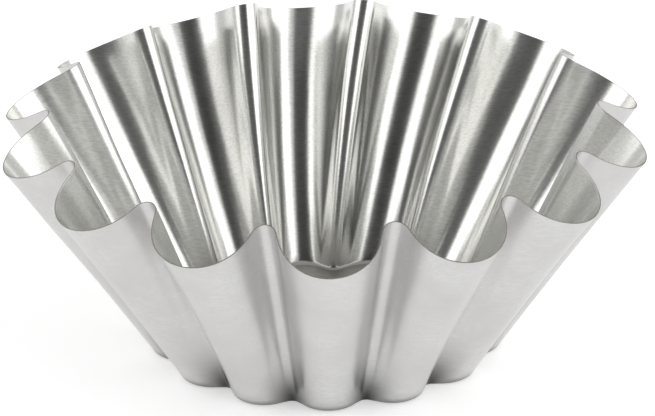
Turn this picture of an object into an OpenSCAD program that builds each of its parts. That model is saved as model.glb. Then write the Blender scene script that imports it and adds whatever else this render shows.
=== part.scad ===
// Fluted brioche mould, drawn in one piece from a round sheet of tinplate.
// The origin is the middle of the underside, +Z is up and one flute faces -Y, the front.
// Sizes are in millimetres, and are those of the outside of the sheet.

/* [Sheet] */
// Thickness of the tinplate
sheet_t = 0.4; // [0.3:0.05:0.8]
// Number of flutes round the wall
flutes = 14; // [12:1:16]

/* [Rim] */
// Distance of the rim from the middle, on the crest of a flute
rim_crest_r = 100; // [92:0.5:110]
// Distance of the rim from the middle, in the valley between two flutes
rim_valley_r = 84; // [78:0.5:90]
// Radius of the round crest at the rim
rim_crest_arc = 15; // [10:0.25:16]
// Radius of the round valley at the rim
rim_valley_arc = 4.5; // [2:0.25:6]
// Height of the rim on the crest of a flute
rim_crest_h = 67; // [50:0.5:76]
// Height of the rim in the valley between two flutes
rim_valley_h = 76.5; // [68:0.5:90]

/* [Base] */
// Distance of the wall's foot from the middle, on the crest of a flute
base_crest_r = 54; // [51:0.25:57]
// Distance of the wall's foot from the middle, in the valley between two flutes
base_valley_r = 48.5; // [46.5:0.25:50]
// Radius of the round crest at the foot of the wall
base_crest_arc = 9; // [6:0.25:9.5]
// Radius of the round valley at the foot of the wall
base_valley_arc = 3.5; // [1.5:0.25:4]
// Outside radius of the bend between the floor and the wall
heel_bend_r = 2.25; // [1.5:0.25:5]

/* [Drawn askew] */
// Turn of the sheet at the back, level with the top of the rim
rim_lean = 3; // [0:0.25:5]
// Turn of the sheet at the back, level with the underside
foot_lean = 8.5; // [0:0.25:10]
// How much nearer to the middle the wall's foot stands at the back
foot_pull = 7; // [0:0.25:8]

/* [Smoothness] */
// Facets along half a crest
crest_steps = 5; // [3:1:6]
// Facets along half a valley
valley_steps = 3; // [2:1:4]
// Facets round the bend at the foot
bend_steps = 4; // [2:1:5]
// Facets up the straight wall
wall_steps = 3; // [1:1:4]

/* [Hidden] */

// Half of the angle that one flute takes up
half_pitch = 180 / flutes;
// The middle of the floor is a true disc. It ends this far inside the bend,
// and the drawn sheet laps over its edge by as much again.
floor_lap = 2;
floor_disc_r = base_valley_r - foot_pull - heel_bend_r - floor_lap;
sheet_start_r = floor_disc_r - floor_lap;
// The front of the sheet is true. These say how closely the lean and the pull keep
// to the back: the higher, the closer.
lean_power = 4.5;
pull_power = 8;
// A crest and a valley that fill a narrow flute shrink to this share of touching
flank_room = 0.99;
tin_grey = [0.78, 0.78, 0.76];

function unit(v) = v / norm(v);
function polar(r, a) = [r * cos(a), r * sin(a)];
function turned(p, a) = [p[0] * cos(a) - p[1] * sin(a), p[0] * sin(a) + p[1] * cos(a)];
function level(p, z) = [p[0], p[1], z];
function wrap(i, n) = (i + n) % n;

// The share of their radii at which the crest and the valley have room side by side.
// Their middles move apart along growth as the radii grow, so the share at which
// they touch solves a quadratic.
function arc_share(crest_r, valley_r, crest_arc, valley_arc) =
    let (
        tips = polar(valley_r, half_pitch) - [crest_r, 0],
        growth = polar(valley_arc, half_pitch) + [crest_arc, 0],
        closing = tips * growth,
        squeeze = pow(crest_arc + valley_arc, 2) - growth * growth
    )
    min(1, flank_room * tips * tips / (sqrt(closing * closing + squeeze * tips * tips) - closing));

// Outline of half a flute, from its crest on the X axis to the valley at half_pitch:
// a crest arc and a valley arc, joined by the straight flank that touches both.
function half_flute(crest_r, valley_r, crest_arc, valley_arc) =
    let (
        share = arc_share(crest_r, valley_r, crest_arc, valley_arc),
        crest = crest_arc * share,
        valley = valley_arc * share,
        crest_mid = [crest_r - crest, 0],
        valley_mid = polar(valley_r + valley, half_pitch),
        apart = valley_mid - crest_mid,
        flank_a = atan2(apart[1], apart[0]) - acos((crest + valley) / norm(apart)),
        valley_turn = flank_a - half_pitch
    )
    concat(
        [for (s = [0:crest_steps]) crest_mid + polar(crest, flank_a * s / crest_steps)],
        [for (s = [0:valley_steps])
            valley_mid - polar(valley, flank_a - valley_turn * s / valley_steps)]
    );

// The whole outline, anticlockwise from above: each half flute, mirrored and turned
function outline(half) =
    let (last = len(half) - 1)
    [for (k = [0:flutes - 1], j = [-last:last - 1])
        let (p = half[abs(j)])
        turned([p[0], j < 0 ? -p[1] : p[1]], 2 * half_pitch * k - 90)];

// The sheet is even in length from the middle to the rim, so the rim rises
// where it is drawn in towards the middle.
function rim_height(p) =
    rim_crest_h
    + (rim_valley_h - rim_crest_h) * (rim_crest_r - norm(p)) / (rim_crest_r - rim_valley_r);

// Where a place of the even outline stands at height z in the askew sheet: turned
// round the middle, and drawn in towards it
function askew(p, z) =
    let (
        back = (1 + p[1] / norm(p)) / 2,
        height = z / rim_valley_h,
        lean = foot_lean + (rim_lean - foot_lean) * height,
        pull = foot_pull * (1 - height)
    )
    level(turned(p, lean * pow(back, lean_power)) * (1 - pull * pow(back, pull_power) / norm(p)), z);

rim_line = [
    for (p = outline(half_flute(rim_crest_r, rim_valley_r, rim_crest_arc, rim_valley_arc)))
    askew(p, rim_height(p))
];
// The foot is where the straight wall would meet the underside without its bend
foot_line = [
    for (p = outline(half_flute(base_crest_r, base_valley_r, base_crest_arc, base_valley_arc)))
    askew(p, 0)
];
around = len(foot_line);

// One line up the outside of the sheet: across the floor, round the bend and up to
// the rim. Each entry is a point and the direction in which the sheet runs there.
function rise(i) =
    let (
        foot = foot_line[i],
        along = foot_line[wrap(i + 1, around)] - foot_line[wrap(i - 1, around)],
        out = unit([along[1], -along[0], 0]),
        wall = unit(rim_line[i] - foot),
        bend_a = acos(wall * out),
        up = unit(wall - (wall * out) * out),
        start = foot - heel_bend_r * tan(bend_a / 2) * out,
        top = foot + heel_bend_r * tan(bend_a / 2) * wall
    )
    concat(
        [[sheet_start_r * unit(foot), unit(foot)]],
        [for (s = [0:bend_steps])
            let (a = bend_a * s / bend_steps)
            [start + heel_bend_r * (sin(a) * out + (1 - cos(a)) * up), cos(a) * out + sin(a) * up]],
        [for (s = [1:wall_steps]) [top + (rim_line[i] - top) * s / wall_steps, wall]]
    );

rises = [for (i = [0:around - 1]) rise(i)];
rows = len(rises[0]);

// The outward side of the sheet, square to its run and to the row through the point
function outward(i, j) =
    unit(cross(rises[wrap(i + 1, around)][j][0] - rises[wrap(i - 1, around)][j][0], rises[i][j][1]));

// The sheet from the floor disc to the rim: a closed band, out along the outside
// and back along the inside, which keeps its distance everywhere.
module drawn_sheet() {
    loop = 2 * rows;
    skin = [
        for (i = [0:around - 1], j = [0:loop - 1])
        let (row = j < rows ? j : loop - 1 - j)
        rises[i][row][0] - (j < rows ? 0 : sheet_t) * outward(i, row)
    ];
    // The split of each quad is mirrored about the crests, as the outline is
    half_len = crest_steps + valley_steps + 1;
    facets = [
        for (i = [0:around - 1], j = [0:loop - 1])
        let (
            a = i * loop + j,
            b = i * loop + (j + 1) % loop,
            c = wrap(i + 1, around) * loop + (j + 1) % loop,
            d = wrap(i + 1, around) * loop + j
        )
        each i % (2 * half_len) < half_len ? [[a, b, c], [a, c, d]] : [[a, b, d], [b, c, d]]
    ];
    polyhedron(points = skin, faces = facets);
}

module fluted_shell() {
    color(tin_grey) union() {
        drawn_sheet();
        cylinder(h = sheet_t, r = floor_disc_r, $fn = 96);
    }
}

fluted_shell();
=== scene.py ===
"""Looks of a fluted brioche mould, drawn in one piece from bright tinplate.

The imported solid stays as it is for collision. The mould that shows is one sheet of the same
form, with finer curves, the small unevenness of thin drawn metal and a finish for each side.
Everything is in metres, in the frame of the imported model. +Z is up and -Y is the front. An
azimuth is 0 at the front and 90 at the right.
"""

import logging  # noqa: E402
from collections.abc import Callable  # noqa: E402
from dataclasses import dataclass, field  # noqa: E402
from enum import Enum  # noqa: E402
from math import acos, atan2, cos, degrees, exp, hypot, pi, radians, sin  # noqa: E402

import bpy  # noqa: E402
from mathutils import Matrix, Vector  # noqa: E402


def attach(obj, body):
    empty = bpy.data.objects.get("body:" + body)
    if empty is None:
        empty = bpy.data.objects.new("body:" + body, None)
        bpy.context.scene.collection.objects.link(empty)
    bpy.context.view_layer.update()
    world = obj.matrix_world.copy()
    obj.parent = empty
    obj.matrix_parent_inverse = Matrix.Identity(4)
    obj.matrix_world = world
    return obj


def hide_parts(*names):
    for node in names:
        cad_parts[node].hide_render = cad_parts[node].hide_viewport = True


logging.basicConfig(level=logging.INFO, format="%(message)s")
log = logging.getLogger("brioche_mould")

MM = 0.001
# The point attribute that says where shade is painted into the metal's colour
SHADE_MASK = "shade_mask"
PHOTO_WIDTH_PX = 655
# A noise texture seldom gives less than the first or more than the second
NOISE_LOW = 0.3
NOISE_HIGH = 0.7
# The noise of the roll marks at which a mark is deepest, and at which it has faded out
MARK_DEEP = 0.35
MARK_FADED = 0.6
# How much of the painted shade is left where it is faintest
SHADE_FAINTEST = 0.88
# A face is level where its normal rises or falls by more than this
LEVEL = 0.5

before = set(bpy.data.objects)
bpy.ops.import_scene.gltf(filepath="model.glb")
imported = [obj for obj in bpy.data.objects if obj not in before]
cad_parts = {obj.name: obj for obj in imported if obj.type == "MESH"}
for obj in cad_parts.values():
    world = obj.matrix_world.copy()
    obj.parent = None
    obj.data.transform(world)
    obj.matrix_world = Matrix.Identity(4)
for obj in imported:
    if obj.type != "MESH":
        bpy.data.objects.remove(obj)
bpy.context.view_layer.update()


class Side(Enum):
    """The parts of the sheet that have a finish of their own, in the order of their slots."""

    OUTSIDE = 0
    INSIDE = 1
    CUT_EDGE = 2


class Cloth(Enum):
    """What the studio's tent is made of, in the order of its material slots."""

    WALL_PAPER = 0
    LID_PAPER = 1
    PALE_FELT = 2
    GREY_FELT = 3
    BLACK_FELT = 4


def linear(hex_colour: str) -> tuple[float, float, float, float]:
    """Turn an sRGB colour into the linear one that Blender's sockets take.

    Args:
        hex_colour: The colour as six hexadecimal digits after a hash.

    Returns:
        Red, green, blue and an alpha of 1.
    """
    parts = [int(hex_colour[i : i + 2], 16) / 255 for i in (1, 3, 5)]
    red, green, blue = (c / 12.92 if c <= 0.04045 else ((c + 0.055) / 1.055) ** 2.4 for c in parts)
    return red, green, blue, 1.0


def add_node(
    tree: bpy.types.NodeTree, kind: str, links: dict | None = None, **settings
) -> bpy.types.Node:
    """Add a node with its settings and its links.

    Args:
        tree: The node tree that gets the node.
        kind: The node's type name, without its leading ShaderNode.
        links: What each input gets, by the input's name or number: an output, or a value.
        settings: The node's own properties.

    Returns:
        The new node.
    """
    node = tree.nodes.new(f"ShaderNode{kind}")
    for name, value in settings.items():
        setattr(node, name, value)
    for socket, value in (links or {}).items():
        if isinstance(value, bpy.types.NodeSocket):
            tree.links.new(value, node.inputs[socket])
        else:
            node.inputs[socket].default_value = value
    return node


def new_material(name: str) -> tuple[bpy.types.Material, bpy.types.NodeTree]:
    """Make a material whose node tree is empty.

    Args:
        name: What the material is called.

    Returns:
        The material and its node tree.
    """
    material = bpy.data.materials.new(name)
    material.use_nodes = True
    material.node_tree.nodes.clear()
    return material, material.node_tree


@dataclass(frozen=True)
class Tinplate:
    """Cold-rolled steel with a bright hot-dipped tin coat.

    Tin gives the eye a slightly warm silver. The rolls leave fine parallel marks in it, and the
    drawing, handling and washing leave a soft haze and faint stains. The real marks are finer
    than a pixel of the photograph, so these are drawn a pixel or two wide.

    Attributes:
        name: What the material is called.
        bright: The colour of the clean tin.
        dull: The colour of the tin where it is hazy.
        mark_colour: The colour in the roll marks.
        painted_shade: The colour of the painted shade in the nooks, where the metal mirrors shadow.
        rough_low: The roughness where the tin is least hazy.
        rough_high: The roughness where it is most hazy.
        haze_mm: The size of the hazy patches.
        mark_mm: The spacing of the roll marks.
        mark_length_mm: Their length.
        mark_depth_mm: Their depth.
        mark_rough: How much rougher the marks are.
        veil_share: The share of the light that a thin veil of wear scatters.
        veil_rough: The roughness of that veil.
        ripple_mm: The size of the shallow ripples that drawing leaves.
        ripple_depth_mm: Their depth.
    """

    name: str
    bright: str
    dull: str
    mark_colour: str
    # The colour of the painted shade at the valleys' feet and round the floor
    painted_shade: str
    rough_low: float
    rough_high: float
    haze_mm: float
    mark_mm: float
    mark_length_mm: float
    mark_depth_mm: float
    mark_rough: float
    veil_share: float
    veil_rough: float
    ripple_mm: float
    ripple_depth_mm: float

    def patterns(self, tree: bpy.types.NodeTree) -> tuple[bpy.types.NodeSocket, ...]:
        """Draw the patterns that the finish is made of, on the object's own coordinates.

        Args:
            tree: The node tree of the material.

        Returns:
            The haze, the roll marks and the ripples.
        """
        place = add_node(tree, "TexCoord").outputs["Object"]
        haze = add_node(
            tree,
            "TexNoise",
            {"Vector": place, "Scale": 1 / (self.haze_mm * MM), "Detail": 4.0, "Roughness": 0.6},
        ).outputs["Fac"]
        along = 1 / (self.mark_length_mm * MM)
        across = 1 / (self.mark_mm * MM)
        stretched = add_node(
            tree, "Mapping", {"Vector": place, "Scale": (along, across, across)}
        ).outputs["Vector"]
        marks = add_node(
            tree, "TexNoise", {"Vector": stretched, "Scale": 1.0, "Detail": 3.0, "Roughness": 0.7}
        ).outputs["Fac"]
        ripple = add_node(
            tree, "TexNoise", {"Vector": place, "Scale": 1 / (self.ripple_mm * MM), "Detail": 1.0}
        ).outputs["Fac"]
        return haze, marks, ripple

    def colour(
        self, tree: bpy.types.NodeTree, haze: bpy.types.NodeSocket, marks: bpy.types.NodeSocket
    ) -> bpy.types.NodeSocket:
        """Colour the plate, with darker marks in it and painted shade in its nooks.

        Args:
            tree: The node tree of the material.
            haze: The pattern of the hazy patches.
            marks: The pattern of the roll marks.

        Returns:
            The colour of the metal.
        """
        plate = add_node(
            tree,
            "Mix",
            {"Factor": haze, 6: linear(self.dull), 7: linear(self.bright)},
            data_type="RGBA",
        ).outputs[2]
        faded = add_node(
            tree, "MapRange", {"Value": marks, "From Min": MARK_DEEP, "From Max": MARK_FADED}
        ).outputs["Result"]
        grained = add_node(
            tree,
            "Mix",
            {"Factor": faded, 6: linear(self.mark_colour), 7: plate},
            data_type="RGBA",
        ).outputs[2]
        # Painted shade: darker towards the feet of the valleys and round the floor
        shade_mask = add_node(tree, "Attribute", attribute_name=SHADE_MASK).outputs["Fac"]
        spread = {"From Min": NOISE_LOW, "From Max": NOISE_HIGH}
        patchy = add_node(
            tree, "MapRange", {"Value": haze, "To Min": SHADE_FAINTEST} | spread
        ).outputs["Result"]
        shade_amount = add_node(tree, "Math", {0: shade_mask, 1: patchy}, operation="MULTIPLY").outputs[0]
        return add_node(
            tree,
            "Mix",
            {"Factor": shade_amount, 6: grained, 7: linear(self.painted_shade)},
            data_type="RGBA",
        ).outputs[2]

    def roughness(
        self, tree: bpy.types.NodeTree, haze: bpy.types.NodeSocket, marks: bpy.types.NodeSocket
    ) -> bpy.types.NodeSocket:
        """Say how rough the metal is under its veil: more so in the haze and in the marks.

        Args:
            tree: The node tree of the material.
            haze: The pattern of the hazy patches.
            marks: The pattern of the roll marks.

        Returns:
            The roughness.
        """
        spread = {"From Min": NOISE_LOW, "From Max": NOISE_HIGH}
        hazy = add_node(
            tree,
            "MapRange",
            {"Value": haze, "To Min": self.rough_low, "To Max": self.rough_high} | spread,
        ).outputs["Result"]
        marked = add_node(
            tree, "MapRange", {"Value": marks, "To Max": self.mark_rough} | spread
        ).outputs["Result"]
        return add_node(tree, "Math", {0: hazy, 1: marked}, operation="ADD").outputs[0]

    def relief(
        self, tree: bpy.types.NodeTree, marks: bpy.types.NodeSocket, ripple: bpy.types.NodeSocket
    ) -> bpy.types.NodeSocket:
        """Press the marks and the ripples into the surface.

        Args:
            tree: The node tree of the material.
            marks: The pattern of the roll marks.
            ripple: The pattern of the ripples.

        Returns:
            The normal of the surface.
        """
        waves = add_node(
            tree, "Bump", {"Height": ripple, "Distance": self.ripple_depth_mm * MM}
        ).outputs["Normal"]
        return add_node(
            tree,
            "Bump",
            {"Height": marks, "Distance": self.mark_depth_mm * MM, "Normal": waves},
        ).outputs["Normal"]

    def build(self) -> bpy.types.Material:
        """Make the material.

        Returns:
            A metal that mirrors clearly through a thin veil of wear.
        """
        material, tree = new_material(self.name)
        haze, marks, ripple = self.patterns(tree)
        metal = {
            "Base Color": self.colour(tree, haze, marks),
            "Metallic": 1.0,
            "Normal": self.relief(tree, marks, ripple),
        }
        mirror = add_node(
            tree, "BsdfPrincipled", metal | {"Roughness": self.roughness(tree, haze, marks)}
        ).outputs["BSDF"]
        veil = add_node(
            tree, "BsdfPrincipled", metal | {"Roughness": self.veil_rough}
        ).outputs["BSDF"]
        shader = add_node(
            tree, "MixShader", {0: self.veil_share, 1: mirror, 2: veil}
        ).outputs["Shader"]
        add_node(tree, "OutputMaterial", {"Surface": shader})
        return material


# The inside keeps the bright face of the plate, which mirrors the flutes beside it
INSIDE_FINISH = Tinplate(
    name="bright_tinplate_drawn",
    bright="#EFEFEC",
    dull="#E5E5E2",
    mark_colour="#D3D3CF",
    # Painted shade round the floor, which stands in for the dark flutes that the floor mirrors
    painted_shade="#8E8C86",
    rough_low=0.13,
    rough_high=0.19,
    haze_mm=22,
    mark_mm=0.45,
    mark_length_mm=2.5,
    mark_depth_mm=0.011,
    mark_rough=0.06,
    veil_share=0.3,
    veil_rough=0.3,
    ripple_mm=16,
    ripple_depth_mm=0.10,
)
# The outside rubbed along the die and then along many oven racks, so it is a pale satin
OUTSIDE_FINISH = Tinplate(
    name="satin_tinplate_drawn",
    bright="#E4E4E7",
    dull="#BDBAB4",
    mark_colour="#CBCBCA",
    # Painted shade at the valleys' feet, which stands in for the shadowed floor that they mirror
    painted_shade="#191816",
    rough_low=0.28,
    rough_high=0.32,
    haze_mm=18,
    mark_mm=0.5,
    mark_length_mm=6,
    mark_depth_mm=0.002,
    mark_rough=0.03,
    veil_share=0.3,
    veil_rough=0.34,
    ripple_mm=18,
    ripple_depth_mm=0.06,
)
# The shears left a dull grey steel edge, thin as the sheet
EDGE_FINISH = Tinplate(
    name="sheared_steel_edge",
    bright="#B8B6B0",
    dull="#8C8A84",
    mark_colour="#8C8A84",
    painted_shade="#8C8A84",
    rough_low=0.35,
    rough_high=0.55,
    haze_mm=6,
    mark_mm=0.5,
    mark_length_mm=2,
    mark_depth_mm=0.01,
    mark_rough=0.1,
    veil_share=0.3,
    veil_rough=0.6,
    ripple_mm=5,
    ripple_depth_mm=0.02,
)


@dataclass(frozen=True)
class FluteLine:
    """A level line round the mould, made of round crests, round valleys and straight flanks.

    Attributes:
        crest_r: How far from the middle a crest reaches.
        valley_r: How far from the middle a valley stays.
        crest_arc: The radius of the round crest.
        valley_arc: The radius of the round valley.
    """

    crest_r: float
    valley_r: float
    crest_arc: float
    valley_arc: float

    def flank_turn(self, half_pitch: float) -> float:
        """Find how far a crest turns before the straight flank that touches both arcs.

        Args:
            half_pitch: The angle from a crest to the valley beside it, in radians.

        Returns:
            The angle in radians.
        """
        crest_mid = Vector((self.crest_r - self.crest_arc, 0))
        reach = self.valley_r + self.valley_arc
        apart = Vector((reach * cos(half_pitch), reach * sin(half_pitch))) - crest_mid
        return atan2(apart.y, apart.x) - acos((self.crest_arc + self.valley_arc) / apart.length)


@dataclass
class FlutedShell:
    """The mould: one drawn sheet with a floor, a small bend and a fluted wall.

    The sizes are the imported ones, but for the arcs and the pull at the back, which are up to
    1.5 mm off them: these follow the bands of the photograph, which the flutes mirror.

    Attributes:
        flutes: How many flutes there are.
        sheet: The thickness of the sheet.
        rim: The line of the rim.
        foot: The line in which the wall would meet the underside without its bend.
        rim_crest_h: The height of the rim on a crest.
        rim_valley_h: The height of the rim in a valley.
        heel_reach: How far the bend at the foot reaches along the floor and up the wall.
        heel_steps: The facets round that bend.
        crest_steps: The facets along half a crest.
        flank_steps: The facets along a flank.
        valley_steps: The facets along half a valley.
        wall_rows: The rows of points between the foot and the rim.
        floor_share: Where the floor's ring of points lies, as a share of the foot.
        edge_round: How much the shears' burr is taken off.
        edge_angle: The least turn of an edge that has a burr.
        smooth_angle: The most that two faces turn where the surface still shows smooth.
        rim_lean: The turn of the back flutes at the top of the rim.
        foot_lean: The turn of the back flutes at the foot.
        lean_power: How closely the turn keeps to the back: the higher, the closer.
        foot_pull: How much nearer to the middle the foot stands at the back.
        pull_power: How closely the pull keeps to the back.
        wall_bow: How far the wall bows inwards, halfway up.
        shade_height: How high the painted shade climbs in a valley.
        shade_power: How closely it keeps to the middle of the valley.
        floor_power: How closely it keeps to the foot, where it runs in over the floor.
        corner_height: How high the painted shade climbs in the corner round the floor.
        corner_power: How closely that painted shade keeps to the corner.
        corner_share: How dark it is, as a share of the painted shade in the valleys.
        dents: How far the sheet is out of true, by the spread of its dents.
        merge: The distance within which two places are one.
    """

    flutes: int = 14
    sheet: float = 0.4 * MM
    rim: FluteLine = FluteLine(100 * MM, 84 * MM, 15.5 * MM, 4 * MM)
    foot: FluteLine = FluteLine(54 * MM, 48.5 * MM, 9.5 * MM, 2.5 * MM)
    rim_crest_h: float = 67 * MM
    rim_valley_h: float = 76.5 * MM
    heel_reach: float = 1.3 * MM
    heel_steps: int = 6
    crest_steps: int = 14
    flank_steps: int = 3
    valley_steps: int = 8
    wall_rows: int = 24
    floor_share: float = 0.75
    edge_round: float = 0.09 * MM
    edge_angle: float = radians(60)
    smooth_angle: float = radians(18)
    rim_lean: float = radians(3)
    foot_lean: float = radians(8.5)
    lean_power: float = 4.5
    foot_pull: float = 5.5 * MM
    pull_power: float = 8.0
    wall_bow: float = 0.6 * MM
    # Where shade is painted into the colour, at the valleys' feet and round the floor
    shade_height: float = 11 * MM
    shade_power: float = 2.0
    floor_power: int = 12
    corner_height: float = 2 * MM
    corner_power: float = 4.0
    corner_share: float = 0.8
    dents: dict[float, float] = field(
        default_factory=lambda: {48 * MM: 0.7 * MM, 21 * MM: 0.16 * MM}
    )
    merge: float = 0.005 * MM

    @property
    def half_pitch(self) -> float:
        """The angle from a crest to the valley beside it, in radians."""
        return pi / self.flutes

    def select(self, piece: bpy.types.Object, wanted: Callable[[Vector], bool]) -> None:
        """Select the edges whose two ends are both wanted, and leave the piece in edit mode.

        Args:
            piece: The mesh object.
            wanted: Says of a place whether it is wanted.
        """
        bpy.ops.object.mode_set(mode="EDIT")
        bpy.ops.mesh.select_mode(type="EDGE")
        bpy.ops.mesh.select_all(action="DESELECT")
        bpy.ops.object.mode_set(mode="OBJECT")
        mesh = piece.data
        chosen = [wanted(v.co) for v in mesh.vertices]
        for edge in mesh.edges:
            edge.select = all(chosen[v] for v in edge.vertices)
        bpy.ops.object.mode_set(mode="EDIT")

    def half_flute(self, name: str, line: FluteLine) -> bpy.types.Object:
        """Draw half a flute, from its crest on the -Y side to the valley beside it.

        Args:
            name: What the chain of edges is called.
            line: The sizes of the flute.

        Returns:
            The chain, level with the floor, in object mode.
        """
        bpy.ops.object.select_all(action="DESELECT")
        bpy.ops.mesh.primitive_plane_add(size=MM, location=(0, 0, 0))
        chain = bpy.context.object
        chain.name = name
        turn = line.flank_turn(self.half_pitch)
        crest_mid = Vector((0, line.crest_arc - line.crest_r, 0))
        reach = line.valley_r + line.valley_arc
        valley_mid = Vector((reach * sin(self.half_pitch), -reach * cos(self.half_pitch), 0))
        bpy.ops.object.mode_set(mode="EDIT")
        bpy.ops.mesh.select_mode(type="VERT")
        bpy.ops.mesh.merge(type="CENTER")
        bpy.ops.transform.translate(value=(0, -line.crest_r, 0))
        bpy.ops.mesh.spin(
            steps=self.crest_steps,
            angle=-turn,
            center=crest_mid,
            axis=(0, 0, 1),
            use_auto_merge=False,
        )
        towards = Vector((sin(turn), -cos(turn), 0))
        flank = (valley_mid - line.valley_arc * towards) - (crest_mid + line.crest_arc * towards)
        for _ in range(self.flank_steps):
            bpy.ops.mesh.extrude_region_move(
                TRANSFORM_OT_translate={"value": flank / self.flank_steps}
            )
        bpy.ops.mesh.spin(
            steps=self.valley_steps,
            angle=turn - self.half_pitch,
            center=valley_mid,
            axis=(0, 0, 1),
            use_auto_merge=False,
        )
        bpy.ops.object.mode_set(mode="OBJECT")
        return chain

    def lift_rim(self, chain: bpy.types.Object) -> None:
        """Raise the rim: the sheet has one length everywhere, so it stands higher in a valley.

        Args:
            chain: The rim's chain of edges. No operator lifts by distance from the middle.
        """
        rise = (self.rim_valley_h - self.rim_crest_h) / (self.rim.crest_r - self.rim.valley_r)
        for vertex in chain.data.vertices:
            drawn_in = self.rim.crest_r - hypot(vertex.co.x, vertex.co.y)
            vertex.co.z = self.rim_crest_h + rise * drawn_in

    def wall_and_floor(self, shell: bpy.types.Object) -> None:
        """Fill the wall between the two chains and carry the foot in to the middle.

        Args:
            shell: The object that holds both chains.
        """
        bpy.ops.object.mode_set(mode="EDIT")
        bpy.ops.mesh.select_mode(type="EDGE")
        bpy.ops.mesh.select_all(action="SELECT")
        bpy.ops.mesh.bridge_edge_loops(number_cuts=self.wall_rows, interpolation="LINEAR")
        self.select(shell, lambda co: abs(co.z) < self.merge)
        middle = (0, 0, 0)
        for share in (self.floor_share, 0.0):
            bpy.ops.mesh.extrude_edges_move()
            bpy.ops.transform.resize(value=(share, share, 1), center_override=middle)
        bpy.ops.mesh.merge(type="CENTER")
        bpy.ops.object.mode_set(mode="OBJECT")

    def all_round(self, shell: bpy.types.Object) -> None:
        """Mirror the half flute and repeat the flute round the middle.

        Args:
            shell: Half a flute with its share of the floor.
        """
        mirror = shell.modifiers.new("other half", "MIRROR")
        mirror.use_clip = True
        mirror.merge_threshold = self.merge
        bpy.ops.object.modifier_apply(modifier=mirror.name)
        bpy.ops.object.mode_set(mode="EDIT")
        bpy.ops.mesh.select_all(action="SELECT")
        bpy.ops.mesh.spin(
            dupli=True, steps=self.flutes, angle=2 * pi, center=(0, 0, 0), axis=(0, 0, 1)
        )
        bpy.ops.mesh.select_all(action="SELECT")
        bpy.ops.mesh.remove_doubles(threshold=self.merge)
        bpy.ops.mesh.normals_make_consistent(inside=False)
        bpy.ops.object.mode_set(mode="OBJECT")

    def bend_heel(self, shell: bpy.types.Object) -> None:
        """Round the foot of the wall, where the sheet turns up from the floor.

        Args:
            shell: The whole shell, still with a sharp foot.
        """
        floor_ends = self.foot.valley_r * (1 + self.floor_share) / 2
        self.select(shell, lambda co: abs(co.z) < self.merge and hypot(co.x, co.y) > floor_ends)
        bpy.ops.mesh.bevel(
            offset=self.heel_reach, segments=self.heel_steps, affect="EDGES", clamp_overlap=False
        )
        bpy.ops.mesh.select_all(action="SELECT")
        bpy.ops.mesh.normals_make_consistent(inside=False)
        bpy.ops.object.mode_set(mode="OBJECT")

    def lean(self, shell: bpy.types.Object) -> None:
        """Turn the flutes at the back a little round the middle, and draw their foot inwards.

        The real sheet was drawn a little askew: its front flutes are true, and the back ones
        lean to the left and stand nearer to the middle at their foot. No operator moves each
        place by its own amount.

        Args:
            shell: The skin of the mould, before it gets its thickness.
        """
        for vertex in shell.data.vertices:
            co = vertex.co
            reach = hypot(co.x, co.y)
            if reach < self.merge:
                continue
            backness = (1 - cos(atan2(co.x, -co.y))) / 2
            height = co.z / self.rim_valley_h
            turn = self.foot_lean + (self.rim_lean - self.foot_lean) * height
            leaned = Matrix.Rotation(turn * backness**self.lean_power, 3, "Z") @ co
            pull = self.foot_pull * (1 - height) * backness**self.pull_power / reach
            pull *= min(1.0, reach / self.foot.crest_r)
            vertex.co = Vector((leaned.x * (1 - pull), leaned.y * (1 - pull), leaned.z))

    def bow(self, shell: bpy.types.Object) -> None:
        """Let the wall bow inwards a little between its foot and its rim, as it sprang back.

        Args:
            shell: The skin of the mould, before it gets its thickness.
        """
        for vertex in shell.data.vertices:
            co = vertex.co
            height = co.z / self.rim_valley_h
            reach = hypot(co.x, co.y)
            if height > 0 and reach > 0:
                # Nothing at the foot and at the rim, and all of the bow halfway up
                inwards = 4 * self.wall_bow * height * (1 - height) / reach
                vertex.co = Vector((co.x * (1 - inwards), co.y * (1 - inwards), co.z))

    def paint_nook_shade(self, shell: bpy.types.Object) -> None:
        """Mark the painted shade: the valleys' feet and the corner round the floor.

        Args:
            shell: The skin of the mould, before it leans and gets its thickness.
        """
        # Painted shade: 1 where the colour is darkest, at the feet of the valleys and round the
        # floor
        shade_mask = shell.data.attributes.new(SHADE_MASK, "FLOAT", "POINT")
        for vertex, painted_shade in zip(shell.data.vertices, shade_mask.data):
            co = vertex.co
            valley = (1 - cos(self.flutes * atan2(co.x, -co.y))) / 2
            outer = min(1.0, hypot(co.x, co.y) / self.foot.valley_r)
            in_valley = outer**self.floor_power * valley**self.shade_power
            in_valley *= exp(-((co.z / self.shade_height) ** 2))
            in_corner = outer**self.corner_power * exp(-((co.z / self.corner_height) ** 2))
            painted_shade.value = max(in_valley, self.corner_share * in_corner)

    def unevenness(self, shell: bpy.types.Object) -> None:
        """Push the wall gently out of true, more towards the free rim than at the stiff foot.

        Args:
            shell: The skin of the mould, before it gets its thickness.
        """
        group = "loose_towards_rim"
        loose = shell.vertex_groups.new(name=group)
        for vertex in shell.data.vertices:
            share = max(0.0, vertex.co.z / self.rim_valley_h)
            loose.add([vertex.index], share, "REPLACE")
        for spread, push in self.dents.items():
            clouds = bpy.data.textures.new("handled_metal", "CLOUDS")
            clouds.noise_scale = spread
            clouds.noise_depth = 1
            dents = shell.modifiers.new("dents", "DISPLACE")
            dents.texture = clouds
            dents.texture_coords = "LOCAL"
            # The clouds push outwards and inwards alike, so each way gets half of the strength
            dents.strength = 2 * push
            dents.mid_level = 0.5
            dents.vertex_group = group
            bpy.ops.object.modifier_apply(modifier=dents.name)
        shell.vertex_groups.clear()

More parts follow.
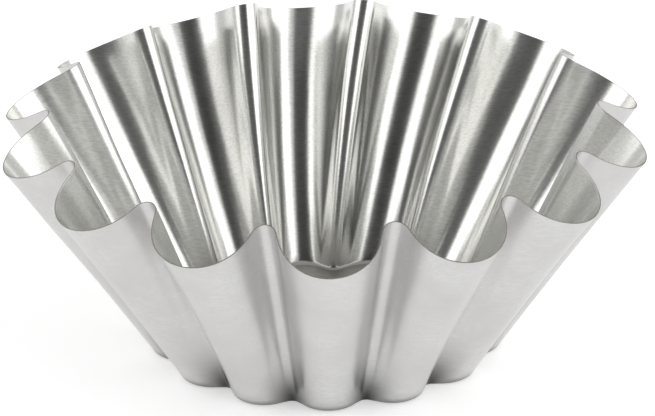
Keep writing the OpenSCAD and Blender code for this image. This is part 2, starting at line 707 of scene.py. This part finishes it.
    def thicken(self, shell: bpy.types.Object) -> None:
        """Give the skin the sheet's thickness inwards, and take the burr off its edge.

        Args:
            shell: The skin of the mould, which is the outside of the sheet.
        """
        wall = shell.modifiers.new("sheet", "SOLIDIFY")
        wall.thickness = self.sheet
        wall.offset = -1
        wall.material_offset = Side.INSIDE.value
        wall.material_offset_rim = Side.CUT_EDGE.value
        bpy.ops.object.modifier_apply(modifier=wall.name)
        burr = shell.modifiers.new("burr", "BEVEL")
        burr.width = self.edge_round
        burr.segments = 2
        burr.limit_method = "ANGLE"
        burr.angle_limit = self.edge_angle
        bpy.ops.object.modifier_apply(modifier=burr.name)

    def build(self) -> bpy.types.Object:
        """Make the whole sheet.

        Returns:
            The finished mould, dressed and riding on the root body.
        """
        foot = self.half_flute("foot_line", self.foot)
        rim = self.half_flute("rim_line", self.rim)
        self.lift_rim(rim)
        foot.select_set(True)
        rim.select_set(True)
        bpy.context.view_layer.objects.active = foot
        bpy.ops.object.join()
        shell = bpy.context.object
        shell.name = "drawn_tinplate_mould"
        shell.data.name = shell.name
        self.wall_and_floor(shell)
        self.all_round(shell)
        self.bend_heel(shell)
        self.paint_nook_shade(shell)
        self.bow(shell)
        self.lean(shell)
        self.unevenness(shell)
        for finish in (OUTSIDE_FINISH, INSIDE_FINISH, EDGE_FINISH):
            shell.data.materials.append(finish.build())
        self.thicken(shell)
        bpy.ops.object.shade_smooth_by_angle(angle=self.smooth_angle)
        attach(shell, "root")
        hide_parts("fluted_shell")
        return shell


@dataclass(frozen=True)
class Lamp:
    """A soft lamp: a white panel that faces the mould.

    Attributes:
        name: What the lamp is called.
        azimuth: The direction in which it hangs, in degrees.
        elevation: How high it hangs over the floor, in degrees.
        distance: How far it is from the middle of the underside.
        width: Its width.
        height: Its height.
        watts: Its power.
    """

    name: str
    azimuth: float
    elevation: float
    distance: float
    width: float
    height: float
    watts: float

    def place(self) -> Matrix:
        """Find where the lamp hangs and how it is turned.

        Returns:
            A matrix whose +Z points away from the mould, as a lamp shines along its -Z.
        """
        azimuth, elevation = radians(self.azimuth), radians(self.elevation)
        away = Vector(
            (sin(azimuth) * cos(elevation), -cos(azimuth) * cos(elevation), sin(elevation))
        )
        turned = away.to_track_quat("Z", "Y").to_matrix().to_4x4()
        return Matrix.Translation(away * self.distance) @ turned

    def build(self) -> None:
        """Hang the lamp."""
        light = bpy.data.lights.new(self.name, "AREA")
        light.shape = "RECTANGLE"
        light.size = self.width
        light.size_y = self.height
        light.energy = self.watts
        lamp = bpy.data.objects.new(self.name, light)
        bpy.context.scene.collection.objects.link(lamp)
        lamp.matrix_world = self.place()


@dataclass(frozen=True)
class Tent:
    """A round tent of glowing paper with a lid, and a felt curtain on the camera's side.

    The bright metal mirrors it. The curtain makes the dark bands of the flutes, and it is paler
    towards the floor, because the ridges between the flutes mirror a lower part of it and are
    paler in the photograph.

    Attributes:
        radius: The radius of the tent.
        height: Its height.
        sides: How many flat sides it has.
        curtain_from: The azimuth at which the curtain starts, in degrees.
        curtain_to: The azimuth at which it ends, in degrees.
        hems: The heights at which the curtain's next felt starts.
        curtain: The curtain's felts, from the floor up.
        glow: How bright each cloth is, where 1 is white.
    """

    radius: float = 5.0
    height: float = 8.0
    sides: int = 30
    curtain_from: float = -48
    curtain_to: float = 25
    hems: tuple[float, ...] = (1.1, 4.0)
    curtain: tuple[Cloth, ...] = (Cloth.PALE_FELT, Cloth.GREY_FELT, Cloth.BLACK_FELT)
    glow: dict[Cloth, float] = field(
        default_factory=lambda: {
            Cloth.WALL_PAPER: 0.66,
            Cloth.LID_PAPER: 0.57,
            Cloth.PALE_FELT: 0.33,
            Cloth.GREY_FELT: 0.11,
            Cloth.BLACK_FELT: 0.02,
        }
    )

    def cloth_at(self, face: bpy.types.MeshPolygon) -> Cloth:
        """Find what a face of the tent is made of.

        Args:
            face: The face.

        Returns:
            Its cloth.
        """
        if abs(face.normal.z) > LEVEL:
            return Cloth.LID_PAPER
        if not self.curtain_from < degrees(atan2(face.center.x, -face.center.y)) < self.curtain_to:
            return Cloth.WALL_PAPER
        return self.curtain[sum(face.center.z > hem for hem in self.hems)]

    def build(self) -> bpy.types.Object:
        """Pitch the tent.

        Returns:
            The tent, which the camera doesn't see and the metal mirrors.
        """
        bpy.ops.object.select_all(action="DESELECT")
        bpy.ops.mesh.primitive_cylinder_add(
            vertices=self.sides, radius=self.radius, depth=self.height, location=(0, 0, 0)
        )
        tent = bpy.context.object
        tent.name = "paper_tent"
        tent.location.z = self.height / 2
        bpy.ops.object.transform_apply(location=True)
        bpy.ops.object.mode_set(mode="EDIT")
        for hem in self.hems:
            bpy.ops.mesh.select_all(action="SELECT")
            bpy.ops.mesh.bisect(plane_co=(0, 0, hem), plane_no=(0, 0, 1))
        bpy.ops.object.mode_set(mode="OBJECT")
        for cloth in Cloth:
            material, tree = new_material(cloth.name.lower())
            glow = add_node(tree, "Emission", {"Strength": self.glow[cloth]}).outputs["Emission"]
            add_node(tree, "OutputMaterial", {"Surface": glow})
            tent.data.materials.append(material)
        for face in tent.data.polygons:
            face.material_index = self.cloth_at(face).value
        # The studio's floor takes the place of the tent's own
        bpy.ops.object.mode_set(mode="EDIT")
        bpy.ops.mesh.select_mode(type="FACE")
        bpy.ops.mesh.select_all(action="DESELECT")
        bpy.ops.object.mode_set(mode="OBJECT")
        for face in tent.data.polygons:
            face.select = face.normal.z < -LEVEL
        bpy.ops.object.mode_set(mode="EDIT")
        bpy.ops.mesh.delete(type="FACE")
        bpy.ops.object.mode_set(mode="OBJECT")
        tent.visible_camera = False
        return tent


@dataclass
class Studio:
    """The pale floor, the world, the lamps, the tent and the camera.

    Attributes:
        floor_half: Half of the floor's side.
        floor_colour: The floor's own colour.
        floor_glow: What is added where the floor is seen, so that it shows white.
        world_strength: The strength of the world's light, which the tent keeps off the mould.
        aim: The place at which the camera looks.
        camera_azimuth: The direction from which it looks, in degrees.
        camera_elevation: How steeply it looks down, in degrees.
        camera_roll: How far it is tilted sideways, in degrees.
        camera_distance: How far it is from its aim.
        focal_px: Its focal length, in pixels of the photograph.
        sensor_mm: The width of its sensor.
        lamps: The soft lamps.
    """

    floor_half: float = 5.0
    floor_colour: str = "#F2F2F2"
    floor_glow: float = 0.49
    world_strength: float = 0.75
    aim: Vector = field(default_factory=lambda: Vector((0.955, 0, 42.646)) * MM)
    camera_azimuth: float = -1.109
    camera_elevation: float = 25.360
    camera_roll: float = -0.456
    camera_distance: float = 1.76173
    focal_px: float = 5728.29
    sensor_mm: float = 36.0
    lamps: tuple[Lamp, ...] = (
        Lamp("lamp_left", -80, 33, distance=3.0, width=2.8, height=1.9, watts=18),
        Lamp("lamp_right", 66, 24, distance=3.0, width=3.7, height=2.6, watts=34),
    )

    def seen(self, tree: bpy.types.NodeTree) -> bpy.types.NodeSocket:
        """Tell the rays that see a surface, directly or in metal or glass, from those that light.

        Args:
            tree: The node tree that asks.

        Returns:
            An output that is 1 for the camera's, mirrored and refracted rays, and 0 for others.
        """
        path = add_node(tree, "LightPath").outputs
        seen = add_node(
            tree,
            "Math",
            {0: path["Is Camera Ray"], 1: path["Is Glossy Ray"]},
            operation="MAXIMUM",
        ).outputs[0]
        return add_node(
            tree, "Math", {0: seen, 1: path["Is Transmission Ray"]}, operation="MAXIMUM"
        ).outputs[0]

    def floor(self) -> None:
        """Make the pale floor, which is white to the camera and to what the metal mirrors."""
        bpy.ops.mesh.primitive_plane_add(size=2 * self.floor_half, location=(0, 0, 0))
        ground = bpy.context.object
        ground.name = "studio_floor"
        material, tree = new_material("matt_paper_floor")
        paper = add_node(
            tree, "BsdfDiffuse", {"Color": linear(self.floor_colour)}
        ).outputs["BSDF"]
        glow = add_node(
            tree, "MapRange", {"Value": self.seen(tree), "To Min": 0.0, "To Max": self.floor_glow}
        ).outputs["Result"]
        white = add_node(tree, "Emission", {"Strength": glow}).outputs["Emission"]
        both = add_node(tree, "AddShader", {0: paper, 1: white}).outputs["Shader"]
        add_node(tree, "OutputMaterial", {"Surface": both})
        ground.data.materials.append(material)

    def world(self) -> None:
        """Make the world that the camera sees past the tent: white to it and to the metal."""
        world = bpy.data.worlds.new("soft_studio")
        bpy.context.scene.world = world
        world.use_nodes = True
        tree = world.node_tree
        tree.nodes.clear()
        strength = add_node(
            tree,
            "MapRange",
            {"Value": self.seen(tree), "To Min": self.world_strength, "To Max": 1.0},
        ).outputs["Result"]
        sky = add_node(
            tree, "Background", {"Color": (1, 1, 1, 1), "Strength": strength}
        ).outputs["Background"]
        add_node(tree, "OutputWorld", {"Surface": sky})

    def camera(self) -> None:
        """Set up the camera at the photograph's viewing angle and framing."""
        azimuth, elevation = radians(self.camera_azimuth), radians(self.camera_elevation)
        back = Vector(
            (sin(azimuth) * cos(elevation), -cos(azimuth) * cos(elevation), sin(elevation))
        )
        right = (-back).cross(Vector((0, 0, 1))).normalized()
        up = back.cross(right)
        tilt = Matrix.Rotation(radians(self.camera_roll), 4, "Z")
        axes = Matrix((right, up, back)).transposed().to_4x4()
        lens = bpy.data.cameras.new("camera")
        lens.sensor_fit = "HORIZONTAL"
        lens.sensor_width = self.sensor_mm
        lens.lens = self.focal_px * self.sensor_mm / PHOTO_WIDTH_PX
        lens.clip_end = 100
        camera = bpy.data.objects.new("camera", lens)
        bpy.context.scene.collection.objects.link(camera)
        camera.matrix_world = (
            Matrix.Translation(self.aim + back * self.camera_distance) @ axes @ tilt
        )
        bpy.context.scene.camera = camera

    def build(self) -> None:
        """Make the whole studio."""
        bpy.context.scene.view_settings.view_transform = "Standard"
        self.floor()
        self.world()
        for lamp in self.lamps:
            lamp.build()
        Tent().build()
        self.camera()


def main() -> None:
    mould = FlutedShell().build()
    log.info("%s: %d faces", mould.name, len(mould.data.polygons))
    Studio().build()


if __name__ == "__main__":
    main()
